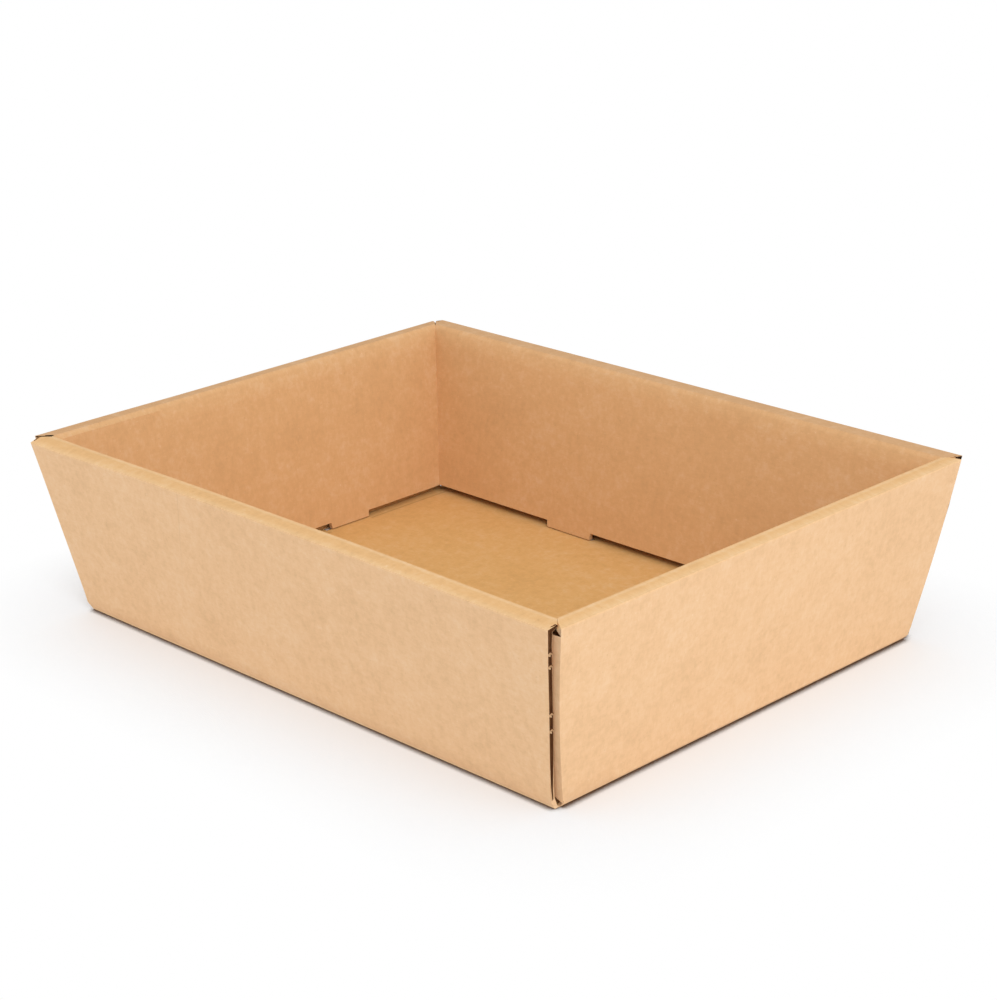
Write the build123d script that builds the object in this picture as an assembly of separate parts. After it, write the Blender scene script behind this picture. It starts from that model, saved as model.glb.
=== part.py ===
"""Flared tray folded from one die-cut sheet of corrugated board.

Every wall is doubled: an outer panel rises from the base, turns over a level rim and comes
down inside as a second panel, which locks in slots of the base by two tabs. The end walls
carry corner flaps that are tucked between the two panels of the side walls. The rims meet in
mitres, and every flap rises at its lower edge, so that the sheet can be cut flat in one piece.

Millimetres, +Z up. X runs along the side walls, Y along the end walls, and the origin is the
middle of the underside. Places called level are read where a leaning face meets the floor.
"""
import os
from math import cos, radians, sin, tan

from build123d import *

# Sheet and overall sizes
BOARD = 3.0               # thickness of the board
BASE_LENGTH = 400.0       # between the end walls, along X
BASE_WIDTH = 300.0        # between the side walls, along Y
TRAY_HEIGHT = 115.0       # underside to rim
WALL_FLARE_DEG = 10.0     # lean of every wall from upright

# Folds, measured on the outside of the bend
BASE_FOLD_RADIUS = 2.4    # base to wall
RIM_FOLD_RADIUS = 1.5     # along both edges of a rim

# Walls
SIDE_PLIES = 3            # outer panel, corner flap and inner panel
END_PLIES = 2             # outer panel and inner panel
FLAP_PLAY = 0.5           # room on each face of a tucked flap
END_CAVITY = 1.0          # room between the two panels of an end wall
CORNER_GAP = 0.8          # slit between neighbouring inner panels
MITRE_GAP = 0.5           # slit between neighbouring rims, along Y
EDGE_LIFT = 2.0           # free lower edges of the inner panels above the base
EDGE_SETBACK = 1.0        # cut edge of a side wall behind the outside of the end wall
FLAP_LENGTH = 70.0        # corner flap, measured from the end wall
FLAP_LIFT = 0.6           # foot of the fold of a flap above the base
FLAP_RISE_DEG = 32.0      # lower edge of a flap from level

# Locking tabs and their slots
SIDE_TAB_PLACE = 68.0     # from the middle of the side wall
SIDE_TAB_WIDTH = 40.0
END_TAB_PLACE = 57.0      # from the middle of the end wall
END_TAB_WIDTH = 34.0
TAB_TAPER = 1.5           # each side of a tab draws in by this much at its tip
TAB_SHORTFALL = 0.4       # tip of a tab above the underside
SLOT_PLAY = 0.3           # room round a tab in its slot
SLOT_RELIEF = 3.0         # extra length of an end slot towards the middle of the wall

# Cutting tools reach past the board by this much
OVERRUN = 1.0

lean = radians(WALL_FLARE_DEG)
flare = tan(lean)
corner_run = Vector(flare, flare, 1)


def level(depth):
    """Level width of a depth that is measured square to a leaning wall."""
    return depth / cos(lean)


half_length = BASE_LENGTH / 2 + BOARD
half_width = BASE_WIDTH / 2 + BOARD
rim_flare = TRAY_HEIGHT * flare
side_wall = SIDE_PLIES * BOARD + 2 * FLAP_PLAY
end_wall = END_PLIES * BOARD + END_CAVITY
rim_underside = TRAY_HEIGHT - BOARD
free_edge = BOARD + EDGE_LIFT
flap_foot = BOARD + FLAP_LIFT
flap_top = rim_underside - FLAP_PLAY

# Level places of the faces that meet at a corner
end_inside = half_length - level(end_wall)
side_inside = half_width - level(side_wall)
flap_outside = half_width - level(BOARD + FLAP_PLAY)
flap_inside = flap_outside - level(BOARD)
end_cut = side_inside - CORNER_GAP
side_cut = end_inside - CORNER_GAP


def at_corner(shape, point):
    """The vertex of a flat shape that lies at a point."""
    return shape.vertices().sort_by_distance(Vector(*point))[0]


def wall_section(half_base, wall):
    """Half of a folded strip: base, outer panel, rim and inner panel as one bent board."""

    def face(z, depth):
        return (half_base + z * flare - level(depth), z)

    base_fold = face(0, 0)
    outer_crease = face(TRAY_HEIGHT, 0)
    inner_crease = face(TRAY_HEIGHT, wall)
    section = make_face(
        Polyline(
            (0, 0),
            base_fold,
            outer_crease,
            inner_crease,
            face(free_edge, wall),
            face(free_edge, wall - BOARD),
            face(rim_underside, wall - BOARD),
            face(rim_underside, BOARD),
            face(BOARD, BOARD),
            (0, BOARD),
            close=True,
        )
    )
    section = fillet(at_corner(section, base_fold), BASE_FOLD_RADIUS)
    creases = [at_corner(section, outer_crease), at_corner(section, inner_crease)]
    return fillet(creases, RIM_FOLD_RADIUS)


def wall_outline(floor_reach, rim_reach):
    """Half of a wall's outline seen square on, from its middle to its leaning end."""
    return make_face(
        Polyline(
            (0, 0),
            (floor_reach, 0),
            (rim_reach, TRAY_HEIGHT),
            (0, TRAY_HEIGHT),
            close=True,
        )
    )


def corner_prism(outline, bottom, top):
    """Prism that leans with the corner, from an outline given by its level places."""
    prism = extrude(outline, amount=(top - bottom) * corner_run.length, dir=corner_run)
    return Pos(bottom * flare, bottom * flare, bottom) * prism


def rectangle(x_low, x_high, y_low, y_high):
    """Level rectangle between two places along X and two along Y."""
    outline = Rectangle(x_high - x_low, y_high - y_low, align=(Align.MIN, Align.MIN))
    return Pos(x_low, y_low) * outline


def mitre_line(shift):
    """Level ends of the mitre of a corner, which runs at 45 degrees from the fold of the flap."""
    return (end_inside, flap_outside - level(end_wall) + shift), (half_length, flap_outside + shift)


def side_wall_quarter():
    """Side wall from its middle to one cut edge, with its share of the base."""
    floor_end = half_length - EDGE_SETBACK
    rim_end = floor_end + rim_flare
    wall = extrude(Plane.YZ * wall_section(half_width, side_wall), amount=rim_end)
    outline = wall_outline(floor_end, rim_end)
    across = half_width + rim_flare + OVERRUN
    wall &= extrude(Plane.XZ * outline, amount=across, dir=(0, 1, 0))
    beyond_inner_panel = rectangle(
        side_cut,
        half_length + OVERRUN,
        side_inside - OVERRUN,
        flap_inside - level(FLAP_PLAY) / 2,
    )
    wall -= corner_prism(beyond_inner_panel, BOARD, rim_underside)
    inner, outer = mitre_line(MITRE_GAP)
    beyond_mitre = make_face(Polyline(inner, outer, (outer[0], inner[1]), close=True))
    return wall - corner_prism(beyond_mitre, rim_underside, TRAY_HEIGHT + OVERRUN)


def corner_flap():
    """End of an end wall's outer panel, bent round the corner into the tucked flap.

    The bend is as round as the board is thick.
    """
    bend_outside = (half_length, flap_outside)
    outline = make_face(
        Polyline(
            (half_length, end_cut),
            bend_outside,
            (half_length - FLAP_LENGTH, flap_outside),
            (half_length - FLAP_LENGTH, flap_inside),
            (half_length - level(BOARD), flap_inside),
            (half_length - level(BOARD), end_cut),
            close=True,
        )
    )
    outline = fillet(at_corner(outline, bend_outside), level(BOARD))
    flap = corner_prism(outline, flap_foot, flap_top)
    foot = half_length - level(BOARD) + flap_foot * flare
    tip = half_length - FLAP_LENGTH - OVERRUN
    rise = (foot - tip) * tan(radians(FLAP_RISE_DEG))
    below = make_face(
        Polyline(
            (foot, flap_foot),
            (tip, flap_foot + rise),
            (tip, flap_foot - OVERRUN),
            (foot, flap_foot - OVERRUN),
            close=True,
        )
    )
    across = half_width + rim_flare + OVERRUN
    return flap - extrude(Plane.XZ * below, amount=across, dir=(0, 1, 0))


def end_wall_quarter():
    """End wall from its middle to one corner flap, with its share of the base."""
    rim_end = flap_outside + rim_flare
    wall = extrude(Plane.XZ * wall_section(half_length, end_wall), amount=rim_end, dir=(0, 1, 0))
    outline = wall_outline(flap_outside, rim_end)
    across = half_length + rim_flare + OVERRUN
    wall &= extrude(Plane.YZ * outline, amount=across)
    panel_inside = half_length - level(BOARD)
    past_corner = half_width + OVERRUN
    beyond_inner_panel = rectangle(end_inside - OVERRUN, panel_inside, end_cut, past_corner)
    wall -= corner_prism(beyond_inner_panel, free_edge, rim_underside)
    bend_room = rectangle(panel_inside, half_length + OVERRUN, end_cut, past_corner)
    wall -= corner_prism(bend_room, flap_foot, flap_top)
    inner, outer = mitre_line(0)
    beyond_mitre = make_face(
        Polyline(
            (end_inside - OVERRUN, inner[1]),
            inner,
            outer,
            (half_length + OVERRUN, flap_outside),
            (half_length + OVERRUN, past_corner),
            (end_inside - OVERRUN, past_corner),
            close=True,
        )
    )
    wall -= corner_prism(beyond_mitre, flap_top, TRAY_HEIGHT + OVERRUN)
    return wall + corner_flap()


def tab_on(panel, width):
    """Tapered tab below the free edge of an inner panel, in the plane of that panel."""
    drop = (free_edge - TAB_SHORTFALL - BOARD * sin(lean)) / cos(lean)
    half_root = width / 2
    half_tip = half_root - TAB_TAPER
    outline = make_face(
        Polyline(
            (-half_root, -BOARD),
            (half_root, -BOARD),
            (half_root, 0),
            (half_tip, drop),
            (-half_tip, drop),
            (-half_root, 0),
            close=True,
        )
    )
    return extrude(panel * outline, amount=BOARD)


def slot_depths(inside):
    """Level places of the two long edges of a slot for a tab with this inside face."""
    near = inside + TAB_SHORTFALL * flare - SLOT_PLAY
    far = inside + BOARD * flare + level(BOARD) + SLOT_PLAY
    return near, far


def slot(outline):
    """Opening through the base."""
    return Pos(0, 0, -OVERRUN) * extrude(outline, amount=BOARD + 2 * OVERRUN)


def side_lock():
    """Tab of a side wall and the slot that takes it."""
    foot = side_inside + free_edge * flare
    panel = Plane((SIDE_TAB_PLACE, foot, free_edge), x_dir=(1, 0, 0), z_dir=(0, cos(lean), -sin(lean)))
    half_slot = SIDE_TAB_WIDTH / 2 + SLOT_PLAY
    opening = rectangle(
        SIDE_TAB_PLACE - half_slot,
        SIDE_TAB_PLACE + half_slot,
        *slot_depths(side_inside),
    )
    return tab_on(panel, SIDE_TAB_WIDTH), slot(opening)


def end_lock():
    """Tab of an end wall and its slot, which runs on towards the middle of the wall."""
    foot = end_inside + free_edge * flare
    panel = Plane((foot, END_TAB_PLACE, free_edge), x_dir=(0, -1, 0), z_dir=(cos(lean), 0, -sin(lean)))
    half_slot = END_TAB_WIDTH / 2 + SLOT_PLAY
    opening = rectangle(
        *slot_depths(end_inside),
        END_TAB_PLACE - half_slot - SLOT_RELIEF,
        END_TAB_PLACE + half_slot,
    )
    return tab_on(panel, END_TAB_WIDTH), slot(opening)


def tray():
    """The whole folded sheet, mirrored from one quarter."""
    quarter = side_wall_quarter() + end_wall_quarter()
    for tab, opening in (side_lock(), end_lock()):
        quarter = quarter - opening + tab
    half = quarter + mirror(quarter, about=Plane.YZ)
    return half + mirror(half, about=Plane.XZ)


os.makedirs("parts", exist_ok=True)
export_step(tray(), "parts/tray.step")
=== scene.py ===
"""Looks of a flared tray folded from one sheet of corrugated board.

The sheet is laid out flat as it is die-cut, folded up along its creases, given the thickness of
the board and rounded at the folds. Its cut edges, but for those close to the base, are opened
between the two liners. Metres, in the frame of the solid: +X along the side walls, +Y along the
end walls, +Z up.
"""
from math import acos, atan, cos, pi, radians, sin, tan

import bmesh
import bpy
from mathutils import Matrix, Vector


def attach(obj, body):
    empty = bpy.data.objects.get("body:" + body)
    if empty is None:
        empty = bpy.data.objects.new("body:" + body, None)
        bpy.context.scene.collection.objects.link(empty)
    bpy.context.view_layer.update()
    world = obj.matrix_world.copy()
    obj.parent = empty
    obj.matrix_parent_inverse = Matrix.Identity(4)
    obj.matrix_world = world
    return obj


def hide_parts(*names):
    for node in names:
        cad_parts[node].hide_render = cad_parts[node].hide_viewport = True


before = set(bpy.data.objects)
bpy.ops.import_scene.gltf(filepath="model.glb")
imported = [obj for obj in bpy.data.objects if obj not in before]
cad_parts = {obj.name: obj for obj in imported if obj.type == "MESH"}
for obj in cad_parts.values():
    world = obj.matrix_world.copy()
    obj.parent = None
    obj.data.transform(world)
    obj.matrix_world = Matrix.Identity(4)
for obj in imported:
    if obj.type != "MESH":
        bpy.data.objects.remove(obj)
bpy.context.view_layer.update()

# Folded sizes
BOARD = 0.003
LINER = 0.00015           # thickness of each of its two liners
BASE_X = 0.203            # half the base, over the folds
BASE_Y = 0.153
RIM_Z = 0.1145            # the rims; one raised corner reaches the solid's top
TOP_Z = 0.115
LEAN = radians(10)
FLARE = tan(LEAN)
RIM_X = BASE_X + RIM_Z * FLARE
RIM_Y = BASE_Y + RIM_Z * FLARE
SIDE_RIM = 0.010 / cos(LEAN)
END_RIM = 0.007 / cos(LEAN)
SIDE_FREE_Z = 0.0054      # lower edges of the inner panels
END_FREE_Z = 0.0050
FLAP_FOOT_Z = 0.0034      # fold of a flap, from its foot to its top
FLAP_TOP_Z = 0.1095
FLAP_LENGTH = 0.070
FLAP_ROWS = 3
FLAP_CUT = radians(77)    # lower edge of a flap on the flat sheet, from the X axis

# Half widths at the floor; each one grows with the flare
SIDE_EDGE_X = 0.2018      # cut edge of a side wall
EDGE_CLOSING = 0.0010     # at its foot that edge is closer to the corner
SIDE_INNER_X = 0.195092   # inner panel of a side wall
SIDE_MITRE_X = 0.19625    # inner end of a side rim's mitre
HINGE_Y = 0.149446        # fold between an end wall and its flaps
END_INNER_Y = 0.142046    # inner panel of an end wall
END_MITRE_Y = 0.142338    # inner end of an end rim's mitre
MITRE_START = 0.0044      # the rim of a side wall is mitred from this distance inwards

# Spring of the corners
CORNER_BULGE = 0.0020     # the corners spring out by this much at half height
EDGE_SPRING = 0.060       # so far from a corner the side wall follows
EDGE_CLOSED_Z = 0.012     # below this height the cut edges close up
PARTED_LINER = 0.0024     # at the right corner the outer liner stands off its core by this much
PARTED_REACH = 0.020      # so far from that corner it stands off
PARTED_FULL_Z = 0.05      # it stands off fully from this height
PARTED_END_Z = 0.104      # at this height it lies on its core again
PARTED_FADE = 0.02        # and it closes over this much below that

# Cut edges, opened to a sunk core
OPEN_CUT_Z = SIDE_FREE_Z + 0.0006   # cut edges below this height stay whole
CORE_DEPTH = 0.0014
CORE_DRAFT = 0.0001       # the recess narrows by this much on each side
CORE_ROW = 0.0009         # places this close to a height are in its row
EDGE_REACH = 0.004        # places this close to a side wall's end are in its cut edge

# Heights at which the open core of a side wall's cut edge is drawn in, and what is left of it
CORE_WIDTHS = ((0.0063, 0.22), (0.0121, 0.42), (0.0223, 0.72))

# Cut edges that are pressed shut: at the foot of each corner, and where two rims meet
SHUT_FOOT_X = BASE_X - 0.005
SHUT_FOOT_Y = HINGE_Y - 0.004
SHUT_FOOT_Z = FLAP_FOOT_Z + 0.001
SHUT_MITRE_X = BASE_X + 0.005
SHUT_MITRE_Y = (BASE_Y + 0.005, BASE_Y + 0.017)
GAPING_Z = RIM_Z - BOARD * 0.6      # at the left corner the rims gape above this height

# Tabs and slots
SIDE_TAB = (0.0480, 0.0880)
SIDE_SLOT = (0.0479, 0.0881)
SIDE_SLOT_Y = (0.1427, 0.14672)
END_TAB = (0.0400, 0.0740)
END_SLOT = (0.0367, 0.0743)
END_SLOT_X = (0.1957, 0.19977)
TAB_TIP_Z = 0.0004
TAB_TAPER = 0.0006

# Folds: the outside radius of each bend, and the angles that the walls fold by
BASE_FOLD = 0.0024
RIM_FOLD = 0.00154
CORNER_FOLD = 0.0022
CORNER_CLEAR = 0.001      # the corner's bend keeps this far from the floor and the rim
FOLD_SEGMENTS = 4
OPEN_ANGLE = pi / 2 - LEAN
SHARP_ANGLE = pi / 2 + LEAN
SMOOTH_ANGLE = radians(35)

# Torn holding nicks on the cut edge at the near corner
NICK_HEIGHTS = (0.0512, 0.0615, 0.0915, 0.0993)
NICK_HALF = 0.0008
NICK_CLEAR = 0.003        # other rows of the wall keep this far from a nick
NICK_PULL = (0.0016, -0.0004, 0)
NICK_TIP = (1, 0.6, 0.75)           # what is left of a tuft's size at its tip

# Waves of the panels
WAVE_SIZE = 0.085
WAVE_DETAIL = 1
WAVE_HEIGHT = 0.0014
WAVE_CLEAR = 0.03         # they die out over this distance from a crease

# How the folded walls stand: moves of the rims, and how far the board follows
STIFF_Z = 0.012           # below this height the board stays as it is folded
NEAR_BOW = (0, 0.0022, 0)
NEAR_BOW_HALF = 0.06      # half the middle stretch of the near rim
NEAR_BOW_REACH = 0.15
NEAR_DROP = (0, 0, -0.0015)
NEAR_DROP_X = -0.20       # the near rim's left end starts here
NEAR_DROP_REACH = 0.08
LEFT_RISE = (0, 0, TOP_Z - RIM_Z)
LEFT_RISE_Y = -0.14       # the left rim's near end starts here
LEFT_RISE_REACH = 0.10
FAR_PARTING = (0.0006, 0, 0)        # opens the mitre at the far corner
FAR_MITRE_X = -RIM_X + 0.009        # that mitre on the side wall's rim
FAR_MITRE_Y = RIM_Y - MITRE_START + 0.0003

# Length of a panel on the flat sheet, and the angles of a corner flap's hinge and fold
PANEL = RIM_Z / cos(LEAN)
HINGE_TURN = atan(sin(LEAN))
FLAP_FOLD = acos(sin(LEAN) ** 2)

DEPTH = "depth"           # name of the group that holds the board's thickness
BLANK = "blank"           # name of the map that holds the flat sheet's coordinates
BLANK_MIDDLE = 0.5        # its middle, so that the whole sheet lies between 0 and 1
NEAR = 0.00002            # two places closer than this are the same
FOLD_NEAR = NEAR * 5      # edges this close to a fold's line are on it
FLUTE_PITCH = 0.0063
WAYS = (-1, 1)
CORNERS = [(x_way, y_way) for x_way in WAYS for y_way in WAYS]

# Material slots of the board
OUTER_SLOT, INNER_SLOT, CUT_SLOT, CORE_SLOT = range(4)


def side_half(z):
    """Half length of a side wall's outer panel at a height."""
    return SIDE_EDGE_X + z * FLARE + EDGE_CLOSING * max(0, 1 - z / EDGE_CLOSED_Z)


def side_inner_half(z):
    """Half length of a side wall's inner panel at a height."""
    return SIDE_INNER_X + z * FLARE


def bulge(z):
    """How far the corners spring out at a height."""
    return CORNER_BULGE * sin(pi * z / RIM_Z)


def parted(z):
    """Share of the right corner's parted liner at a height: none at the foot and under the rim."""
    return min(1, z / PARTED_FULL_Z) * min(1, max(0, (PARTED_END_Z - z) / PARTED_FADE))


def hinge_half(z):
    """Half length of an end wall's outer panel at a height."""
    return HINGE_Y + z * FLARE + bulge(z)


def end_inner_half(z):
    """Half length of an end wall's inner panel at a height."""
    return END_INNER_Y + z * FLARE


SIDE_FOOT_X = side_half(0)

# Tabs as lines on the base, which the layout of a wall carries out to its free edge
SIDE_TAB_LINES = [place * SIDE_FOOT_X / side_inner_half(SIDE_FREE_Z) for place in SIDE_TAB]
END_TAB_LINES = [place * HINGE_Y / end_inner_half(END_FREE_Z) for place in END_TAB]


def divide(start, end, count):
    """Evenly spaced places from start to end, both included."""
    return [start + (end - start) * i / count for i in range(count + 1)]


# Board colours, before light, but for the painted light and shade marked below
OUTER_LINER = (0.766, 0.492, 0.274, 1)
# painted shade: the outer liner where it faces into the tray, darker and redder than outside
OUTER_LINER_INSIDE_SHADED = (0.705, 0.415, 0.197, 1)
INNER_LINER = (0.760, 0.440, 0.163, 1)
# painted light on the near rims, a touch lighter and warmer; painted shade on the far rims
NEAR_RIM_PAINTED_LIGHT = (1.04, 0.98, 0.79, 1)
FAR_RIM_PAINTED_SHADE = (0.88, 0.80, 0.70, 1)
# rubbed paler creases, partly painted highlight
RUBBED_HIGHLIGHT_LINER = (1.00, 0.80, 0.54, 1)
BRIGHT_FIBRE = (1.0, 0.86, 0.66, 1)
DEEP_SHARES = (0.42, 0.33, 0.24)    # what is left of a liner's colour where it is darkest
TORN_PAPER = (0.800, 0.560, 0.345, 1)
TORN_SHADE = (0.52, 0.31, 0.155, 1)
# painted shade: the open flutes of a cut edge, nearly black
FLUTE_HOLE_SHADE = (0.045, 0.019, 0.008, 1)
FLUTING = (0.22, 0.110, 0.048, 1)
RAGGED_FLUTING = (0.32, 0.18, 0.085, 1)
NEAR_CORE_PAINTED_LIGHT = (0.22, 0.085, 0.030, 1)  # painted light: the core of the near cut edges, lit browner, blended in over the near half of the sheet

# Paper patterns: scale, detail and roughness of the noise
NOISE_MIDDLE = 0.5
CLOUDS = (26, 3.0, 0.55)
PATCHES = (140, 2.0, 0.5)
MOTTLE = (330, 3.0, 0.6)
FIBRES = (1.0, 2.5, 0.6)
FIBRE_STRETCH = (260, 1150, 1)
CROSS_FIBRES = (1.0, 2.0, 0.6)
CROSS_FIBRE_STRETCH = (1000, 300, 1)
GRAIN = (1500, 1.0, 0.5)
FLECKS = (620, 1.5, 0.5)
DARK_FLECKS = (0.70, 0.76)          # from none to full
PALE_FLECKS = (0.71, 0.78)
FUZZ = (1.0, 2.0, 0.6)
STREAKS = (1.0, 3.0, 0.6)

# Shifts of the patterns, as multiples of a liner's seed
PAPER_SHIFT = (1, 0.7, 1.3)
FIBRE_SHIFT = (91, 57, 1)
CROSS_FIBRE_SHIFT = (31, 77, 1)
CROSS_FIBRE_LAYER = 3

# Weights in the paper's tone and relief
TONE_WEIGHTS = {
    "clouds": 0.18,
    "patches": 0.20,
    "mottle": 0.20,
    "fibres": 0.14,
    "cross_fibres": 0.09,
    "grain": 0.06,
}
RELIEF_WEIGHTS = {"clouds": 0.25, "mottle": 0.5, "fibres": 0.55, "grain": 0.25}
FLUTE_PAINTED_SHADING = 0.004
FLUTE_RELIEF = 0.30
DARK_TONE = 1.5
PALE_TONE = 1.3
FLECK_TONE = 0.16

# Marks on the flat sheet, out from the base's folds: the inside, in painted shade, the rims and
# the rubbed creases with their painted highlight
INSIDE = (PANEL - 0.0005, PANEL + 0.0025)   # less the rim's width
RIM = (PANEL - 0.0015, PANEL + 0.0005)
BASE_CREASE = (0.0, 0.0022)         # place and reach
OUTER_CREASE = (PANEL + 0.0006, 0.0024)
INNER_CREASE = (PANEL - 0.0016, 0.0020)     # less the rim's width
RUBBED_HIGHLIGHT_TONE = 0.25
RUBBED_HIGHLIGHT_LEAST = 0.25                 # rubbing and painted highlight where the mottle is darkest
RUBBED_HIGHLIGHT_SPREAD = 0.9

# Score lines of the base, and how they end at the slots and the side walls
SCORE_LINE = (0.1915, 0.0011)
SCORE_FADE = 0.001
SCORE_END = (-0.004, -0.003)
SCORE_TONE = 0.45
SCORE_RELIEF = 1.5

# Press mark on the flat sheet: the line it lies on, and where along Y it starts and fades
PRESS_LINE = (-0.0784, 0.0007)      # its place by the rim and its reach
PRESS_RIM_Y = -0.2698
PRESS_SLOPE = -0.228
PRESS_START = (-0.2690, -0.2670)
PRESS_FADE = (-0.25, -0.19)
PRESS_TONE = 0.14
PRESS_RELIEF = 0.8

# Cut edges: patterns of the torn liners and of the core, and their weights
FUZZ_STRETCH = (900, 900, 1)
STREAK_STRETCH = (210, 210, 1)
STREAK_SHIFT = (4, 9, 2)
STREAK_START = 0.35
STREAK_GAIN = 1.4
RAGGED_STRETCH = (420, 420, 1)
FLUTE_WANDER = 2.4                  # radians of a flute's wave
FLUTE_CREST = (0.55, 1.0)
FLUTING_TONE = 0.40
RAGGED_FLUTES = (0.62, 0.78)
RAGGED_TONE = 0.3
MIDDLE_Y = (-0.01, 0.01)            # from the near half of the tray to the far half
NEAR_CORE_LIGHT_TONE = 0.55


class Wire:
    """A node socket. Sums written with it add Math nodes, and node() adds any other node."""

    def __init__(self, socket):
        self.socket = socket

    def node(self, kind, settings=None, values=None, output=0):
        """A new node: its settings first, then the values or links of its sockets."""
        made = self.socket.id_data.nodes.new(kind)
        for name, value in (settings or {}).items():
            setattr(made, name, value)
        for name, value in (values or {}).items():
            plug(made.inputs[name], value)
        return Wire(made.outputs[output])

    def output(self, name):
        """Another output of the same node."""
        return Wire(self.socket.node.outputs[name])

    def math(self, operation, *values, clamp=False):
        settings = {"operation": operation, "use_clamp": clamp}
        return self.node("ShaderNodeMath", settings, dict(enumerate(values)))

    def __add__(self, other):
        return self.math("ADD", self, other)

    __radd__ = __add__

    def __sub__(self, other):
        return self.math("SUBTRACT", self, other)

    def __rsub__(self, other):
        return self.math("SUBTRACT", other, self)

    def __mul__(self, other):
        return self.math("MULTIPLY", self, other)

    __rmul__ = __mul__

    def __abs__(self):
        return self.math("ABSOLUTE", self)

    def clamped(self):
        return self.math("ADD", self, 0.0, clamp=True)

    def over(self, low, high):
        """0 below low, 1 above high, even between."""
        return self.math("MULTIPLY", self - low, 1 / (high - low), clamp=True)

    def near(self, place, reach):
        """1 at a place, falling evenly to 0 at a reach from it."""
        return self.math("SUBTRACT", 1.0, abs(self - place) * (1 / reach), clamp=True)

    def blend(self, under, over, way="MIX"):
        """Colour under, covered by colour over as far as this mask says."""
        settings = {"data_type": "RGBA", "blend_type": way}
        return self.node("ShaderNodeMix", settings, {0: self, 6: under, 7: over}, output=2)

    def stretched(self, scale, shift=(0, 0, 0)):
        """This vector with a scale and a shift for each axis."""
        values = {"Vector": self, "Scale": scale, "Location": shift}
        return self.node("ShaderNodeMapping", None, values)

    def noise(self, scale, detail=2.0, roughness=0.5):
        values = {"Vector": self, "Scale": scale, "Detail": detail, "Roughness": roughness}
        return self.node("ShaderNodeTexNoise", None, values)


def plug(socket, value):
    """Link a wire to a socket, or set the socket's own value."""
    if isinstance(value, Wire):
        socket.id_data.links.new(value.socket, socket)
    else:
        socket.default_value = value


def new_material(name):
    """Empty material: its shader and a wire with the flat sheet's coordinates."""
    material = bpy.data.materials.new(name)
    material.use_nodes = True
    nodes = material.node_tree.nodes
    start = nodes.new("ShaderNodeUVMap")
    start.uv_map = BLANK
    return material, nodes["Principled BSDF"], Wire(start.outputs[0])


def dress(shader, tone, roughness, gloss, height, strength, distance):
    """Give a shader its colour, roughness, gloss and relief."""
    relief = {"Strength": strength, "Distance": distance, "Height": height}
    plug(shader.inputs["Base Color"], tone)
    plug(shader.inputs["Roughness"], roughness)
    plug(shader.inputs["Normal"], tone.node("ShaderNodeBump", None, relief))
    plug(shader.inputs["Specular IOR Level"], gloss)


def sheet_places(place):
    """Places and distances on the flat sheet, from its middle and out from the base's folds."""
    x = place.node("ShaderNodeSeparateXYZ", None, {0: place})
    y = x.output("Y")
    across = abs(x - BLANK_MIDDLE)
    along = abs(y - BLANK_MIDDLE)
    end_way = across - BASE_X
    side_way = along - BASE_Y
    outward = end_way.math("MAXIMUM", end_way, side_way)
    on_side = side_way.math("GREATER_THAN", side_way, end_way)
    return x - BLANK_MIDDLE, y - BLANK_MIDDLE, across, along, outward, on_side


def weighed(patterns, weights):
    """Sum of the named patterns, each swinging round zero by its weight."""
    total = 0.0
    for name, weight in weights.items():
        total = (patterns[name] - NOISE_MIDDLE) * weight + total
    return total


def shift_by(seed, steps, layer=0):
    """Shift of a pattern, so that no two patterns and no two liners line up."""
    x, y, z = (seed * step for step in steps)
    return x, y, z + layer


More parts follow.
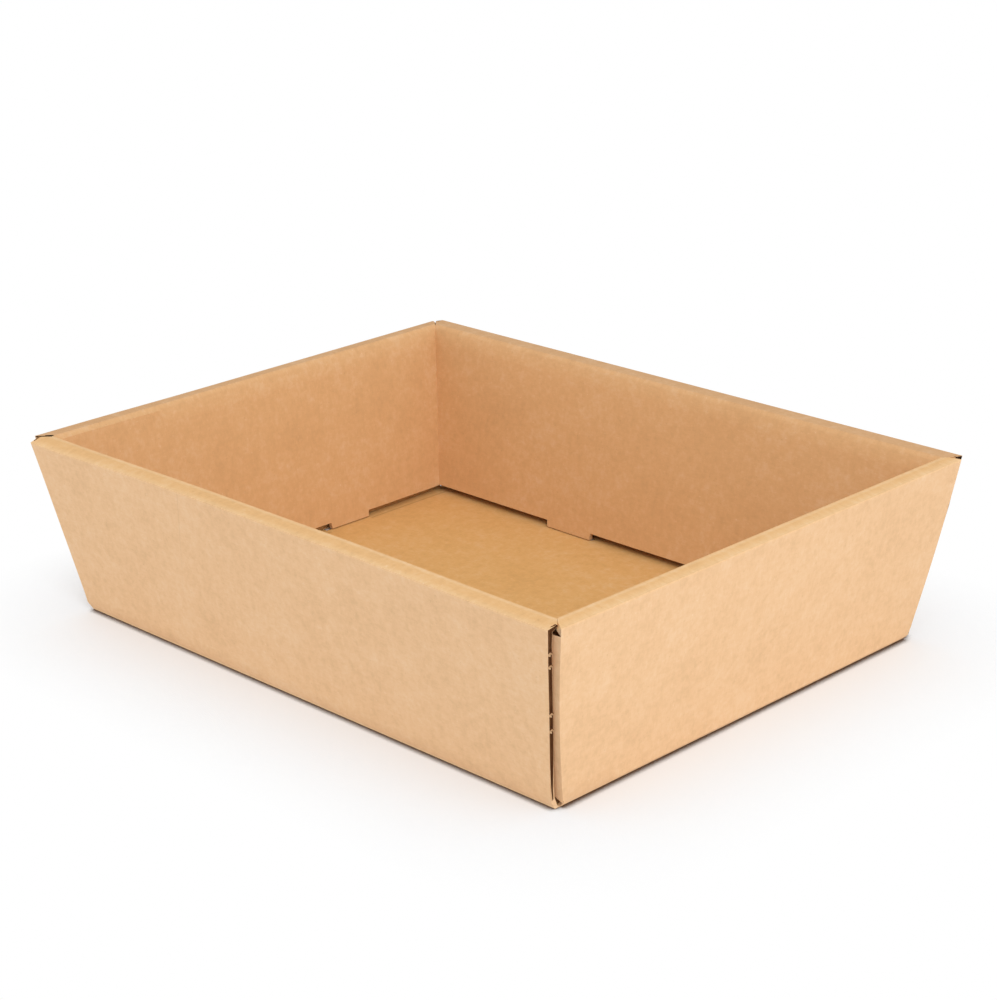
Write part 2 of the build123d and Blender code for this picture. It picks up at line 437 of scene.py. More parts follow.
def kraft_liner(name, colour, inside_shaded_colour, seed, creases_worn_and_lit):
    """Uncoated kraft paper: cloudy, with fibres and flecks, faint flutes and rubbed creases;
    painted highlights on the creases, painted shading across the flutes, painted shade inside and
    on the far rims, painted light on the near rims.
    """
    material, shader, place = new_material(name)
    x, y, across, along, outward, on_side = sheet_places(place)
    moved = place.stretched((1, 1, 1), shift_by(seed, PAPER_SHIFT))
    fibre_ways = place.stretched(FIBRE_STRETCH, shift_by(seed, FIBRE_SHIFT))
    cross_shift = shift_by(seed, CROSS_FIBRE_SHIFT, CROSS_FIBRE_LAYER)
    cross_ways = place.stretched(CROSS_FIBRE_STRETCH, cross_shift)
    mottle = moved.noise(*MOTTLE)
    patterns = {
        "clouds": moved.noise(*CLOUDS),
        "patches": moved.noise(*PATCHES),
        "mottle": mottle,
        "fibres": fibre_ways.noise(*FIBRES),
        "cross_fibres": cross_ways.noise(*CROSS_FIBRES),
        "grain": moved.noise(*GRAIN),
    }
    fleck_field = moved.noise(*FLECKS)
    dark_flecks = fleck_field.over(*DARK_FLECKS)
    pale_flecks = (1.0 - fleck_field).over(*PALE_FLECKS)
    flute_phase = x * (2 * pi / FLUTE_PITCH)
    flutes = flute_phase.math("SINE", flute_phase)

    # Darker and redder, then paler and yellower, round the plain colour, with faint painted
    # shading across the flutes
    value = weighed(patterns, TONE_WEIGHTS) + flutes * FLUTE_PAINTED_SHADING
    dark = (0.0 - value).clamped()
    pale = value.clamped()
    deep = [part * share for part, share in zip(colour, DEEP_SHARES)] + [1]
    rim = on_side * (SIDE_RIM - END_RIM) + END_RIM
    inside = (outward - rim).over(*INSIDE)
    # painted shade on the panels that face into the tray
    tone = inside.blend(colour, inside_shaded_colour)
    far_end = x.math("LESS_THAN", x, -BASE_X) * (1.0 - on_side)
    far_side = y.math("GREATER_THAN", y, BASE_Y) * on_side
    on_rim = outward.over(*RIM) * (1.0 - inside)
    shaded_far_rim = (far_end + far_side) * on_rim
    # Painted light on the near rims and painted shade on the far rims
    tone = on_rim.blend(tone, shaded_far_rim.blend(NEAR_RIM_PAINTED_LIGHT, FAR_RIM_PAINTED_SHADE), "MULTIPLY")
    tone = (dark * DARK_TONE).blend(tone, deep)
    tone = (pale * PALE_TONE).blend(tone, BRIGHT_FIBRE)
    tone = (dark_flecks * FLECK_TONE).blend(tone, deep)
    tone = (pale_flecks * FLECK_TONE).blend(tone, BRIGHT_FIBRE)

    # Creases are rubbed paler along the crown of each fold, with a painted highlight there
    folds = outward.near(*BASE_CREASE)
    folds = folds.math("MAXIMUM", folds, outward.near(*OUTER_CREASE))
    folds = folds.math("MAXIMUM", folds, (outward - rim).near(*INNER_CREASE))
    rubbing_and_highlight = mottle * RUBBED_HIGHLIGHT_SPREAD + RUBBED_HIGHLIGHT_LEAST
    rubbed_and_highlit = folds * rubbing_and_highlight * (1.0 - shaded_far_rim) * creases_worn_and_lit
    tone = (rubbed_and_highlit * RUBBED_HIGHLIGHT_TONE).blend(tone, RUBBED_HIGHLIGHT_LINER)

    # Score lines pressed beside the slots of the base
    low, high = END_SLOT
    past_low = along.over(low, low + SCORE_FADE)
    past_high = along.over(high - SCORE_FADE, high)
    clear_of_tabs = 1.0 - past_low * (1.0 - past_high)
    score = across.near(*SCORE_LINE) * clear_of_tabs * (1.0 - outward.over(*SCORE_END))
    tone = (score * SCORE_TONE).blend(tone, deep)

    # One faint slanting press mark on the outer panel of the near side wall
    slant = x - (y - PRESS_RIM_Y) * PRESS_SLOPE
    press = slant.near(*PRESS_LINE) * (1.0 - y.over(*PRESS_FADE)) * y.over(*PRESS_START)
    tone = (press * PRESS_TONE * creases_worn_and_lit).blend(tone, deep)

    height = weighed(patterns, RELIEF_WEIGHTS) + flutes * FLUTE_RELIEF
    dress(
        shader,
        tone,
        roughness=0.80 + mottle * 0.10 - rubbed_and_highlit * 0.12,
        gloss=0.22,
        height=height - score * SCORE_RELIEF - press * PRESS_RELIEF,
        strength=0.55,
        distance=0.00006,
    )
    return material


def torn_paper():
    """Edges of the two liners where the die has cut the board: pale, fuzzy fibre."""
    material, shader, place = new_material("cut_liner_edge")
    fuzz = place.stretched(FUZZ_STRETCH).noise(*FUZZ)
    streaks = place.stretched(STREAK_STRETCH, STREAK_SHIFT).noise(*STREAKS)
    pale = ((streaks - STREAK_START) * STREAK_GAIN).clamped()
    dress(
        shader,
        tone=pale.blend(TORN_SHADE, TORN_PAPER),
        roughness=0.86 + fuzz * 0.1,
        gloss=0.15,
        height=fuzz,
        strength=0.7,
        distance=0.0001,
    )
    return material


def open_flutes():
    """Core of the board in a cut edge: open flutes in painted shade with the fluting paper between
    them, and painted light on the near half.
    """
    material, shader, place = new_material("open_flutes")
    x, y = sheet_places(place)[:2]
    ragged = place.stretched(RAGGED_STRETCH).noise(*FUZZ)
    phase = x * (2 * pi / FLUTE_PITCH) + (ragged - NOISE_MIDDLE) * FLUTE_WANDER
    fluting = phase.math("COSINE", phase).over(*FLUTE_CREST)
    tone = (fluting * FLUTING_TONE).blend(FLUTE_HOLE_SHADE, FLUTING)
    tone = (ragged.over(*RAGGED_FLUTES) * RAGGED_TONE).blend(tone, RAGGED_FLUTING)
    # painted light: the near half's cut edges, lit browner
    lit_near_half = 1.0 - y.over(*MIDDLE_Y)
    dress(
        shader,
        tone=(lit_near_half * NEAR_CORE_LIGHT_TONE).blend(tone, NEAR_CORE_PAINTED_LIGHT),
        roughness=0.88 + ragged * 0.08,
        gloss=0.1,
        height=ragged,
        strength=0.8,
        distance=0.0003,
    )
    return material


def start_pick(board, kind):
    """The mesh with nothing selected, ready for a choice of vertices, edges or faces."""
    bpy.ops.mesh.select_mode(type=kind)
    bpy.ops.mesh.select_all(action="DESELECT")
    return bmesh.from_edit_mesh(board.data)


def pick(board, kind, test):
    """Select the vertices, edges or faces whose corners all pass a test on their place."""
    mesh = start_pick(board, kind)
    if kind == "VERT":
        for vertex in mesh.verts:
            if test(vertex.co):
                vertex.select_set(True)
    else:
        for part in mesh.edges if kind == "EDGE" else mesh.faces:
            if all(test(vertex.co) for vertex in part.verts):
                part.select_set(True)
    mesh.select_flush_mode()
    bmesh.update_edit_mesh(board.data)


def extrude(move):
    """Extrude what is selected."""
    bpy.ops.mesh.extrude_region_move(TRANSFORM_OT_translate={"value": move})


def between(value, low, high):
    return low - NEAR < value < high + NEAR


def cut_lines(axis, places):
    """Divide the whole flat base along lines square to an axis, on both sides of its middle."""
    for place in sorted({way * place for place in places for way in WAYS}):
        bpy.ops.mesh.select_all(action="SELECT")
        bpy.ops.mesh.bisect(plane_co=[place * way for way in axis], plane_no=axis)


def roll_out(out, distance, half, rows):
    """Extrude the selected edge over the flat sheet; each row is its distance and half width."""
    for next_distance, next_half in rows:
        grow = next_half / half
        widen = [1 if way else grow for way in out[:2]] + [1]
        extrude([way * (next_distance - distance) for way in out])
        bpy.ops.transform.resize(value=widen, center_override=(0, 0, 0))
        distance, half = next_distance, next_half


def row_test(out, distance, low, high):
    """Test for places on one row of a wall, between two distances from its middle."""
    line = Vector(out)

    def on_row(place):
        aside = abs(place.x * out[1]) + abs(place.y * out[0])
        return abs(line.dot(place) - distance) < NEAR and between(aside, low, high)

    return on_row


def add_tabs(board, out, row, tab, free_z):
    """Extrude the two locking tabs from the free edge of an inner panel."""
    low, high = tab
    drop = (free_z - TAB_TIP_Z - BOARD * sin(LEAN)) / cos(LEAN)
    middle = (low + high) / 2
    draw_in = 1 - 2 * TAB_TAPER / (high - low)
    widen = [1 if step else draw_in for step in out[:2]] + [1]
    aside = Vector((abs(out[1]), abs(out[0]), 0))
    foot = Vector(out) * row
    on_row = row_test(out, row, low, high)
    for way in WAYS:
        pick(board, "EDGE", lambda p: on_row(p) and p.dot(aside) * way > 0)
        extrude(Vector(out) * drop)
        bpy.ops.transform.resize(value=widen, center_override=foot + aside * middle * way)


def lay_out_base(board):
    """Base of the flat sheet, with the lines that its walls, tabs and slots start from."""
    bpy.ops.transform.resize(value=(2 * BASE_X, 2 * HINGE_Y, 1), center_override=(0, 0, 0))
    low, high = SIDE_TAB_LINES
    lines = divide(0, SIDE_SLOT[0], count=5)
    lines += divide(low, SIDE_SLOT[1], count=4)
    lines += divide(high, END_SLOT_X[0], count=11)
    lines.append(END_SLOT_X[1])
    cut_lines((1, 0, 0), lines)
    low, high = END_TAB_LINES
    lines = divide(0, END_SLOT[0], count=4)
    lines += divide(low, END_SLOT[1], count=4)
    lines += divide(high, SIDE_SLOT_Y[0], count=7)
    cut_lines((0, 1, 0), lines)
    for way in WAYS:
        pick(board, "FACE", lambda p: abs(p.x) < END_SLOT_X[1] + NEAR)
        bpy.ops.mesh.bisect(plane_co=(0, way * SIDE_SLOT_Y[1], 0), plane_no=(0, 1, 0))
    for way in WAYS:
        pick(board, "EDGE", row_test((0, way, 0), HINGE_Y, 0, BASE_X))
        extrude((0, way * (BASE_Y - HINGE_Y), 0))
    pick(board, "VERT", lambda p: abs(p.x) > BASE_X - NEAR and abs(p.y) > BASE_Y - NEAR)
    bpy.ops.transform.resize(value=(SIDE_FOOT_X / BASE_X, 1, 1), center_override=(0, 0, 0))


def cut_slots(board):
    """Take the eight slots out of the base."""

    def in_slot(place):
        x, y = abs(place.x), abs(place.y)
        side = between(x, *SIDE_SLOT) and between(y, *SIDE_SLOT_Y)
        return side or between(x, *END_SLOT_X) and between(y, *END_SLOT)

    pick(board, "FACE", in_slot)
    bpy.ops.mesh.delete(type="FACE")


def clear_of_nicks(z):
    """True for a height that no nick is close to."""
    return min(abs(z - nick) for nick in NICK_HEIGHTS) > NICK_CLEAR


def lay_out_side(board, way):
    """One side wall of the flat sheet: outer panel, rim, inner panel and tabs."""
    out = (0, way, 0)
    heights = [z for z in divide(EDGE_CLOSED_Z, RIM_Z, count=10) if clear_of_nicks(z)]
    heights += [nick + edge for nick in NICK_HEIGHTS for edge in (-NICK_HALF, NICK_HALF)]
    heights.append(EDGE_CLOSED_Z / 2)
    rows = [(BASE_Y + z / cos(LEAN), side_half(z)) for z in sorted(heights)]
    rows.append((BASE_Y + PANEL + MITRE_START, side_half(RIM_Z)))
    crease = BASE_Y + PANEL + SIDE_RIM
    rows.append((crease, SIDE_MITRE_X + RIM_Z * FLARE))
    for z in divide(RIM_Z - BOARD, SIDE_FREE_Z, count=11):
        rows.append((crease + (RIM_Z - z) / cos(LEAN), side_inner_half(z)))
    pick(board, "EDGE", row_test(out, BASE_Y, 0, SIDE_FOOT_X))
    roll_out(out, BASE_Y, SIDE_FOOT_X, rows)
    add_tabs(board, out, rows[-1][0], SIDE_TAB, SIDE_FREE_Z)


def lay_out_end(board, way):
    """One end wall of the flat sheet: outer panel, rim, inner panel and tabs."""
    out = (way, 0, 0)
    heights = divide(FLAP_FOOT_Z, FLAP_TOP_Z, count=10) + [RIM_Z]
    rows = [(BASE_X + z / cos(LEAN), hinge_half(z)) for z in heights]
    crease = BASE_X + PANEL + END_RIM
    mitre = END_MITRE_Y + RIM_Z * FLARE
    rows += [(crease - END_RIM / 2, (hinge_half(RIM_Z) + mitre) / 2), (crease, mitre)]
    for z in divide(RIM_Z - BOARD, END_FREE_Z, count=11):
        rows.append((crease + (RIM_Z - z) / cos(LEAN), end_inner_half(z)))
    pick(board, "EDGE", row_test(out, BASE_X, 0, HINGE_Y))
    roll_out(out, BASE_X, HINGE_Y, rows)
    add_tabs(board, out, rows[-1][0], END_TAB, END_FREE_Z)


def beyond_hinge(place):
    """How far a place on the flat sheet lies outside the fold of a corner flap."""
    return abs(place.y) - hinge_half((abs(place.x) - BASE_X) * cos(LEAN))


def lay_out_flap(board, x_way, y_way):
    """One corner flap of the flat sheet, with its lower edge clear of the side wall's blank."""
    low = BASE_X + FLAP_FOOT_Z / cos(LEAN)
    high = BASE_X + FLAP_TOP_Z / cos(LEAN)

    def on_hinge(place):
        near = abs(beyond_hinge(place)) < NEAR and between(place.x * x_way, low, high)
        return near and place.y * y_way > 0

    pick(board, "EDGE", on_hinge)
    bpy.ops.mesh.hide(unselected=True)
    step = FLAP_LENGTH / FLAP_ROWS
    swing = 2 * HINGE_TURN
    for _ in range(FLAP_ROWS):
        extrude((-sin(swing) * step * x_way, cos(swing) * step * y_way, 0))
    foot = (low * x_way, hinge_half(FLAP_FOOT_Z) * y_way, 0)
    bpy.ops.mesh.select_all(action="SELECT")
    bpy.ops.mesh.bisect(
        plane_co=foot,
        plane_no=(sin(FLAP_CUT) * x_way, -cos(FLAP_CUT) * y_way, 0),
        clear_inner=True,
    )
    bpy.ops.mesh.reveal(select=False)


def on_side(place):
    """True on the side walls of the flat sheet, beyond the base's folds."""
    beyond = abs(place.y) - BASE_Y
    return beyond > NEAR and abs(place.x) < SIDE_FOOT_X + NEAR + beyond * sin(LEAN)


def on_end(place):
    """True on the end walls of the flat sheet and their flaps, beyond the base's folds."""
    return abs(place.x) > BASE_X + NEAR and not on_side(place)


def displace(board, name, group, strength, texture=None):
    """Move the flat sheet up by a strength, as far as a vertex group says."""
    wave = board.modifiers.new(name, "DISPLACE")
    wave.direction = "Z"
    wave.strength = strength
    wave.vertex_group = group.name
    wave.mid_level = NOISE_MIDDLE if texture else 0.0
    if texture:
        wave.texture = texture
    bpy.ops.object.modifier_apply(modifier=wave.name)


def map_blank(board):
    """Keep the flat sheet's coordinates as a map, for the paper's patterns."""
    layer = board.data.uv_layers.new(name=BLANK)
    for loop in board.data.loops:
        place = board.data.vertices[loop.vertex_index].co
        layer.data[loop.index].uv = (place.x + BLANK_MIDDLE, place.y + BLANK_MIDDLE)


def slacken(board):
    """Let the panels wave between their creases, the cut edges spring and one liner part."""
    group = board.vertex_groups.new(name="slack")
    edges = board.vertex_groups.new(name="sprung_edges")
    depth = board.vertex_groups.new(name=DEPTH)
    most = CORNER_BULGE + PARTED_LINER
    deepest = BOARD + PARTED_LINER
    for vertex in board.data.vertices:
        place = vertex.co
        depth.add([vertex.index], BOARD / deepest, "REPLACE")
        if on_side(place):
            out, rim = abs(place.y) - BASE_Y, SIDE_RIM
            z = out * cos(LEAN)
            if z < RIM_Z:
                spring = max(0.0, 1 - (side_half(z) - abs(place.x)) / EDGE_SPRING)
                lift = spring ** 2 * bulge(z)
                if place.x > 0 and place.y > 0:
                    share = max(0.0, 1 - (side_half(z) - place.x) / PARTED_REACH) * parted(z)
                    lift += share * PARTED_LINER
                    depth.add([vertex.index], (BOARD + share * PARTED_LINER) / deepest, "REPLACE")
                edges.add([vertex.index], lift / most, "REPLACE")
        elif on_end(place) and beyond_hinge(place) < NEAR:
            out, rim = abs(place.x) - BASE_X, END_RIM
        else:
            continue
        clear = min(abs(out), abs(out - PANEL), abs(out - PANEL - rim))
        if on_end(place):
            clear = min(clear, -beyond_hinge(place))
        group.add([vertex.index], min(1.0, max(0.0, clear) / WAVE_CLEAR), "REPLACE")
    waves = bpy.data.textures.new("board_waves", "CLOUDS")
    waves.noise_scale = WAVE_SIZE
    waves.noise_depth = WAVE_DETAIL
    displace(board, "slack", group, WAVE_HEIGHT, waves)
    displace(board, "spring", edges, -most)


def turn(axis, angle, centre):
    """Turn what is selected. With no window the operator turns the other way."""
    bpy.ops.transform.rotate(
        value=-angle,
        orient_axis=axis,
        orient_type="GLOBAL",
        center_override=centre,
    )


def pick_flat(board, flat, test):
    """Select vertices by where they were on the flat sheet."""
    mesh = start_pick(board, "VERT")
    for vertex in mesh.verts:
        if test(flat[vertex.index]):
            vertex.select_set(True)
    mesh.select_flush_mode()
    bmesh.update_edit_mesh(board.data)


def fold_up(board):
    """Fold the flat sheet, from its outermost creases inwards."""
    flat = [vertex.co.copy() for vertex in board.data.vertices]
    bpy.ops.object.mode_set(mode="EDIT")
    for x_way, y_way in CORNERS:

        def on_flap(place):
            in_corner = place.x * x_way > 0 and place.y * y_way > 0
            return in_corner and on_end(place) and beyond_hinge(place) > NEAR

        hinge = (BASE_X * x_way, HINGE_Y * y_way, 0)
        swing = HINGE_TURN * x_way * y_way
        bpy.ops.mesh.select_all(action="SELECT")
        turn("Z", -swing, hinge)
        pick_flat(board, flat, on_flap)
        turn("X", FLAP_FOLD * y_way, hinge)
        bpy.ops.mesh.select_all(action="SELECT")
        turn("Z", swing, hinge)
    for way in WAYS:
        for out, angle in (
            (BASE_Y + PANEL + SIDE_RIM, OPEN_ANGLE),
            (BASE_Y + PANEL, SHARP_ANGLE),
            (BASE_Y, OPEN_ANGLE),
        ):
            pick_flat(board, flat, lambda p: on_side(p) and p.y * way > out + NEAR)
            turn("X", angle * way, (0, out * way, 0))
        for out, angle in (
            (BASE_X + PANEL + END_RIM, OPEN_ANGLE),
            (BASE_X + PANEL, SHARP_ANGLE),
            (BASE_X, OPEN_ANGLE),
        ):
            pick_flat(board, flat, lambda p: on_end(p) and p.x * way > out + NEAR)
            turn("Y", -angle * way, (out * way, 0, 0))
    bpy.ops.object.mode_set(mode="OBJECT")


def thicken(board):
    """Give the sheet the board's thickness, on the side away from the outer liner."""
    wall = board.modifiers.new("thickness", "SOLIDIFY")
    wall.thickness = BOARD + PARTED_LINER
    wall.vertex_group = DEPTH
    wall.offset = -1
    wall.use_even_offset = True
    wall.use_quality_normals = True
    wall.material_offset = INNER_SLOT
    wall.material_offset_rim = CUT_SLOT
    bpy.ops.object.modifier_apply(modifier=wall.name)


def round_fold(board, test, radius, angle):
    """Round the outside of the folds whose edges pass a test."""
    pick(board, "EDGE", test)
    bpy.ops.mesh.bevel(
        offset=radius * tan(angle / 2),
        offset_type="OFFSET",
        segments=FOLD_SEGMENTS,
        profile=0.5,
        affect="EDGES",
        clamp_overlap=True,
    )


def round_folds(board):
    """Round every fold of the thick sheet on its outside."""

    def line(axis, place, z):
        return lambda p: abs(abs(p[axis]) - place) < FOLD_NEAR and abs(p.z - z) < FOLD_NEAR

    def corner(place):
        on_x = abs(abs(place.x) - BASE_X - place.z * FLARE) < FOLD_NEAR
        on_y = abs(abs(place.y) - hinge_half(place.z)) < FOLD_NEAR
        return on_x and on_y and between(place.z, CORNER_CLEAR, RIM_Z - CORNER_CLEAR)

    round_fold(board, line(0, BASE_X, 0), BASE_FOLD, OPEN_ANGLE)
    round_fold(board, line(1, BASE_Y, 0), BASE_FOLD, OPEN_ANGLE)
    round_fold(board, line(0, RIM_X, RIM_Z), RIM_FOLD, SHARP_ANGLE)
    round_fold(board, line(1, RIM_Y, RIM_Z), RIM_FOLD, SHARP_ANGLE)
    round_fold(board, line(0, RIM_X - END_RIM, RIM_Z), RIM_FOLD, OPEN_ANGLE)
    round_fold(board, line(1, RIM_Y - SIDE_RIM, RIM_Z), RIM_FOLD, OPEN_ANGLE)
    round_fold(board, corner, CORNER_FOLD, FLAP_FOLD)


def pick_faces(board, slot, test):
    """Select the faces of one material slot whose middles pass a test."""
    mesh = start_pick(board, "FACE")
    for face in mesh.faces:
        if face.material_index == slot and test(face.calc_center_median()):
            face.select_set(True)
    bmesh.update_edit_mesh(board.data)


def pick_core(board, test):
    """Select the vertices of the sunk core that pass a test."""
    mesh = start_pick(board, "VERT")
    for vertex in mesh.verts:
        in_core = any(face.material_index == CORE_SLOT for face in vertex.link_faces)
        if in_core and test(vertex.co):
            vertex.select_set(True)
    bmesh.update_edit_mesh(board.data)


def give_slot(board, slot):
    """Give the selected faces a material slot."""
    board.active_material_index = slot
    bpy.ops.object.material_slot_assign()


def in_foot(place):
    """True at the foot of a corner, where the crease presses the cut edges shut."""
    by_corner = abs(place.x) > SHUT_FOOT_X and abs(place.y) > SHUT_FOOT_Y
    return by_corner and place.z < SHUT_FOOT_Z


def in_mitre(place):
    """True where two rims meet and are pressed shut; at the left corner they gape."""
    low, high = SHUT_MITRE_Y
    by_corner = abs(place.x) > SHUT_MITRE_X and low < abs(place.y) < high
    gapes = place.x < 0 and place.y < 0 and place.z > GAPING_Z
    return by_corner and place.z > FLAP_TOP_Z and not gapes


def open_cut_edges(board):
    """Sink the core of the cut edges between the two liners, but not low down by the slots."""
    pick_faces(board, CUT_SLOT, lambda p: in_foot(p) or in_mitre(p))
    give_slot(board, OUTER_SLOT)
    pick_faces(board, CUT_SLOT, lambda p: p.z > OPEN_CUT_Z)
    bpy.ops.mesh.inset(thickness=LINER, use_even_offset=False, use_boundary=True)
    give_slot(board, CORE_SLOT)

    # Leaving edit mode and coming back works out the new faces' normals for the second inset
    bpy.ops.object.mode_set(mode="OBJECT")
    bpy.ops.object.mode_set(mode="EDIT")
    bpy.ops.mesh.inset(
        thickness=CORE_DRAFT,
        depth=-CORE_DEPTH,
        use_even_offset=False,
        use_boundary=True,
    )
    for x_way, y_way in CORNERS:
        for height, share in CORE_WIDTHS:

            def at_height(place):
                at_edge = place.x * x_way > side_half(place.z) - EDGE_REACH
                beyond = place.y * y_way > hinge_half(place.z)
                return at_edge and beyond and abs(place.z - height) < CORE_ROW

            pick_core(board, at_height)
            bpy.ops.transform.resize(value=(1, share, 1))


def leave_nicks(board):
    """Pull torn tufts of fibre out of the cut edge at the near corner, where the nicks held."""
    for height in NICK_HEIGHTS:

        def at_nick(place):
            near = abs(place.z - height) < NICK_HALF and place.x > side_half(height) - EDGE_REACH
            return near and place.y < -hinge_half(height)

        pick_faces(board, CORE_SLOT, at_nick)
        extrude(NICK_PULL)
        bpy.ops.transform.resize(value=NICK_TIP)
        give_slot(board, CUT_SLOT)


def pick_walls(board, test):
    """Select vertices by their place and by where they were on the flat sheet."""
    mesh = start_pick(board, "VERT")
    layer = mesh.loops.layers.uv[BLANK]
    for vertex in mesh.verts:
        u, v = vertex.link_loops[0][layer].uv
        if not vertex.hide and test(vertex.co, Vector((u - BLANK_MIDDLE, v - BLANK_MIDDLE, 0))):
            vertex.select_set(True)
    bmesh.update_edit_mesh(board.data)


def nudge(board, test, move, reach):
    """Move the places that pass a test, and let the board within a reach follow."""
    pick_walls(board, test)
    bpy.ops.transform.translate(
        value=move,
        use_proportional_edit=True,
        use_proportional_connected=True,
        proportional_edit_falloff="SMOOTH",
        proportional_size=reach,
    )


def settle(board):
    """Let the folded walls stand as card does: one rim bows in, and rims part at two corners."""

    def on_near_rim(place, flat):
        return on_side(flat) and flat.y < 0 and place.z > FLAP_TOP_Z

    def at_near_middle(place, flat):
        return on_near_rim(place, flat) and abs(place.x) < NEAR_BOW_HALF

    def at_near_left_end(place, flat):
        return on_near_rim(place, flat) and place.x < NEAR_DROP_X

    def at_left_near_end(place, flat):
        on_left = on_end(flat) and beyond_hinge(flat) < NEAR and flat.x < 0
        return on_left and place.z > FLAP_TOP_Z and place.y < LEFT_RISE_Y

    def on_far_mitre(place, flat):
        by_corner = place.x < FAR_MITRE_X and place.y < FAR_MITRE_Y
        return by_corner and on_side(flat) and flat.y > 0 and place.z > FLAP_TOP_Z

    pick(board, "FACE", lambda p: p.z < STIFF_Z)
    bpy.ops.mesh.hide(unselected=False)
    nudge(board, at_near_middle, NEAR_BOW, NEAR_BOW_REACH)
    nudge(board, at_near_left_end, NEAR_DROP, NEAR_DROP_REACH)
    nudge(board, at_left_near_end, LEFT_RISE, LEFT_RISE_REACH)
    pick_walls(board, on_far_mitre)
    bpy.ops.transform.translate(value=FAR_PARTING)
    bpy.ops.mesh.reveal(select=False)
    for level, test in ((0, lambda p: p.z < 0), (TOP_Z, lambda p: p.z > TOP_Z)):
        pick(board, "VERT", test)
        bpy.ops.transform.resize(value=(1, 1, 0), center_override=(0, 0, level))


def build_board():
    """The whole tray, folded from one flat sheet."""
    bpy.ops.object.select_all(action="DESELECT")
    bpy.ops.mesh.primitive_plane_add(size=1, calc_uvs=False, enter_editmode=True)
    board = bpy.context.object
    board.name = "tray_board"
    lay_out_base(board)
    for way in WAYS:
        lay_out_side(board, way)
        lay_out_end(board, way)
    for x_way, y_way in CORNERS:
        lay_out_flap(board, x_way, y_way)
    cut_slots(board)
    bpy.ops.mesh.select_all(action="SELECT")
    bpy.ops.mesh.remove_doubles(threshold=NEAR / 2)
    bpy.ops.mesh.normals_make_consistent(inside=False)
    if bmesh.from_edit_mesh(board.data).faces[:][0].normal.z > 0:
        bpy.ops.mesh.flip_normals()
    bpy.ops.object.mode_set(mode="OBJECT")
    for material in (
        kraft_liner("outer_liner", OUTER_LINER, OUTER_LINER_INSIDE_SHADED, seed=0.37, creases_worn_and_lit=1.0),
        kraft_liner("inner_liner", INNER_LINER, INNER_LINER, seed=2.21, creases_worn_and_lit=0.0),
        torn_paper(),
        open_flutes(),
    ):
        board.data.materials.append(material)
    map_blank(board)
    slacken(board)
    fold_up(board)
    thicken(board)
    bpy.ops.object.mode_set(mode="EDIT")
    round_folds(board)
    open_cut_edges(board)
    leave_nicks(board)
    settle(board)
    bpy.ops.object.mode_set(mode="OBJECT")
    bpy.ops.object.shade_smooth_by_angle(angle=SMOOTH_ANGLE)
    return board


board = build_board()
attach(board, "root")
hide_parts("tray")


# Floor, light and camera
WHITE = (1, 1, 1, 1)
FLOOR_SIZE = 9
FLOOR_Z = -0.0003         # just under the tray
FLOOR_COLOUR = (0.87, 0.89, 0.92, 1)
CONTACT_PAINTED_SHADE = (0.10, 0.055, 0.03, 1)
CONTACT_REACH = 0.005     # the floor gets painted dark shade where the tray covers it this closely
CONTACT_RANGE = (0.35, 0.80)
SHADOW_REACH = 0.10       # and shows its shadow where the tray stands this close
SHADOW_RANGE = (0.35, 0.97)
COVER_SAMPLES = 5
HORIZON_LIGHT = 0.80      # the surround is brightest low down and dims overhead
ZENITH_LIGHT = 0.70
DIMMING = (0.10, 0.85)    # it dims between these heights on a sphere of radius 1

# Lamps: name, place, size and power
LAMP_AIM = (0, 0, 0.05)
SOFTBOXES = (
    ("front_softbox", (2.65, -1.60, 2.43), 1.8, 58),
    ("right_softbox", (1.6, 0.4, 0.25), 0.8, 3),
    ("left_softbox", (-1.2, -1.3, 0.25), 0.8, 3.8),
)

# Camera: lens and sensor in millimetres, its place, and its own right, up and back
CAMERA_LENS = 89.107
CAMERA_SENSOR = 36
CAMERA_CLIP = (0.05, 30)
CAMERA_PLACE = (1.0141, -0.9820, 0.5984)
CAMERA_RIGHT = (0.7051, 0.7087, -0.0235)
CAMERA_UP = (-0.2288, 0.2587, 0.9385)
CAMERA_BACK = (0.6712, -0.6563, 0.3445)


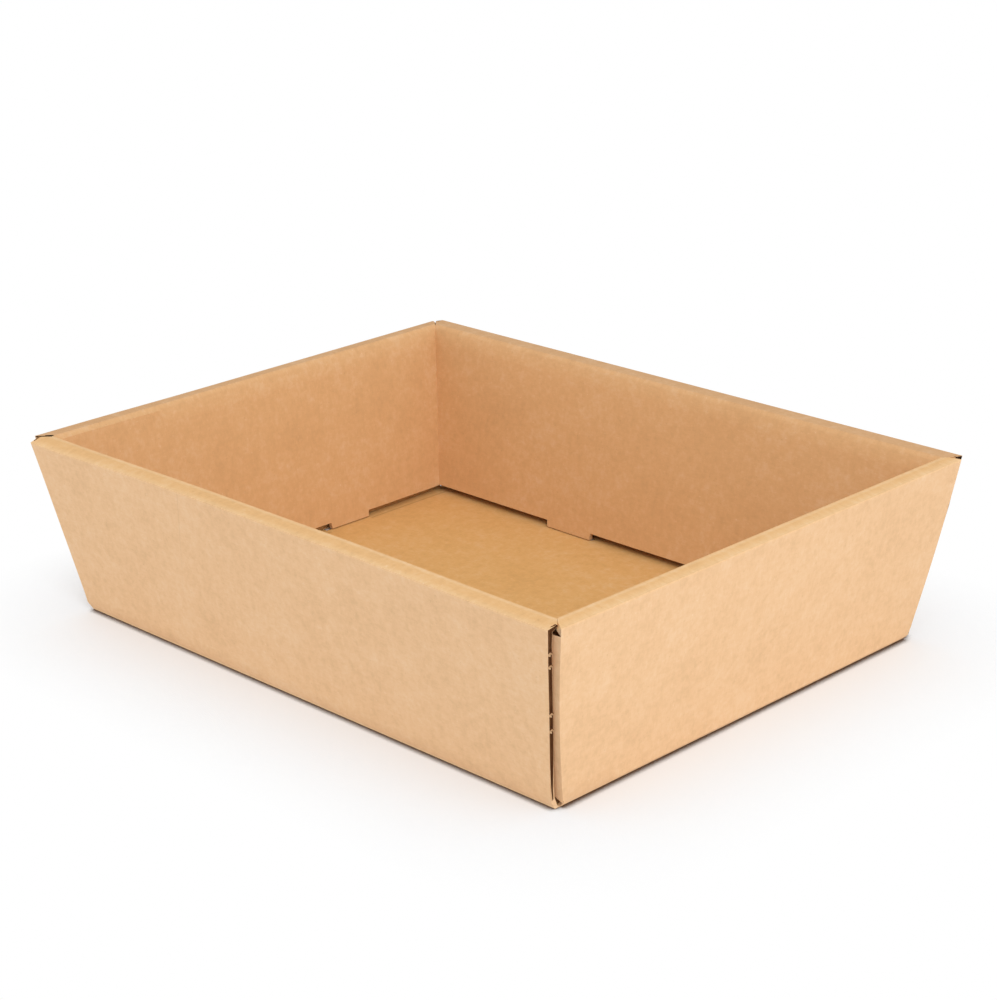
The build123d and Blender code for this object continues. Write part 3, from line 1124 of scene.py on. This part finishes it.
def set_floor():
    """Pale floor: white to the camera, with the tray's shadow left on it and painted dark shade
    where the tray stands on it.
    """
    bpy.ops.object.select_all(action="DESELECT")
    bpy.ops.mesh.primitive_plane_add(size=FLOOR_SIZE, location=(0, 0, FLOOR_Z))
    floor = bpy.context.object
    floor.name = "floor"
    material = bpy.data.materials.new("pale_floor")
    material.use_nodes = True
    tree = material.node_tree
    tree.nodes.remove(tree.nodes["Principled BSDF"])
    ray = Wire(tree.nodes.new("ShaderNodeLightPath").outputs["Is Camera Ray"])

    def uncovered(reach):
        """How much of the floor's view is open within a reach."""
        settings = {"samples": COVER_SAMPLES}
        return ray.node("ShaderNodeAmbientOcclusion", settings, {"Distance": reach}, output="AO")

    paper = ray.node("ShaderNodeBsdfDiffuse", None, {"Color": FLOOR_COLOUR})
    shade = ray.node("ShaderNodeBsdfDiffuse", None, {"Color": CONTACT_PAINTED_SHADE})
    white = ray.node("ShaderNodeEmission", None, {"Color": WHITE, "Strength": 1.0})
    # painted shade: dark brown floor where the tray covers it closely
    painted_contact = ray * (1.0 - uncovered(CONTACT_REACH).over(*CONTACT_RANGE))
    ground = ray.node("ShaderNodeMixShader", None, {0: painted_contact, 1: paper, 2: shade})
    share = ray * (1.0 - painted_contact) * uncovered(SHADOW_REACH).over(*SHADOW_RANGE)
    mixed = ray.node("ShaderNodeMixShader", None, {0: share, 1: ground, 2: white})
    plug(tree.nodes["Material Output"].inputs["Surface"], mixed)
    floor.data.materials.append(material)


def set_world():
    """Studio surround, a little dimmer overhead and seen as white behind the tray."""
    world = bpy.data.worlds.new("studio")
    bpy.context.scene.world = world
    world.use_nodes = True
    tree = world.node_tree
    light = tree.nodes["Background"]
    ray = Wire(tree.nodes.new("ShaderNodeLightPath").outputs["Is Camera Ray"])
    way = Wire(tree.nodes.new("ShaderNodeTexCoord").outputs["Generated"])
    rise = way.node("ShaderNodeSeparateXYZ", None, {0: way}, output="Z")
    glow = HORIZON_LIGHT - rise.over(*DIMMING) * (HORIZON_LIGHT - ZENITH_LIGHT)
    plug(light.inputs["Color"], WHITE)
    plug(light.inputs["Strength"], glow)
    white = ray.node("ShaderNodeBackground", None, {"Color": WHITE, "Strength": 1.0})
    mixed = ray.node("ShaderNodeMixShader", None, {0: ray, 1: Wire(light.outputs[0]), 2: white})
    plug(tree.nodes["World Output"].inputs["Surface"], mixed)


def add_softbox(name, place, size, power):
    """Large soft lamp that points at the tray."""
    lamp = bpy.data.lights.new(name, "AREA")
    lamp.shape = "DISK"
    lamp.size = size
    lamp.energy = power
    holder = bpy.data.objects.new(name, lamp)
    bpy.context.scene.collection.objects.link(holder)
    holder.location = place
    holder.rotation_euler = (Vector(LAMP_AIM) - Vector(place)).to_track_quat("-Z", "Y").to_euler()


def set_camera():
    """Camera at the photograph's place, height and roll."""
    camera = bpy.data.cameras.new("photo_camera")
    camera.lens = CAMERA_LENS
    camera.sensor_width = CAMERA_SENSOR
    camera.clip_start, camera.clip_end = CAMERA_CLIP
    holder = bpy.data.objects.new("photo_camera", camera)
    bpy.context.scene.collection.objects.link(holder)
    turned = Matrix((CAMERA_RIGHT, CAMERA_UP, CAMERA_BACK)).transposed().to_4x4()
    holder.matrix_world = Matrix.Translation(CAMERA_PLACE) @ turned
    bpy.context.scene.camera = holder


set_floor()
set_world()
for softbox in SOFTBOXES:
    add_softbox(*softbox)
set_camera()
bpy.context.scene.view_settings.view_transform = "Standard"

bpy.context.view_layer.update()
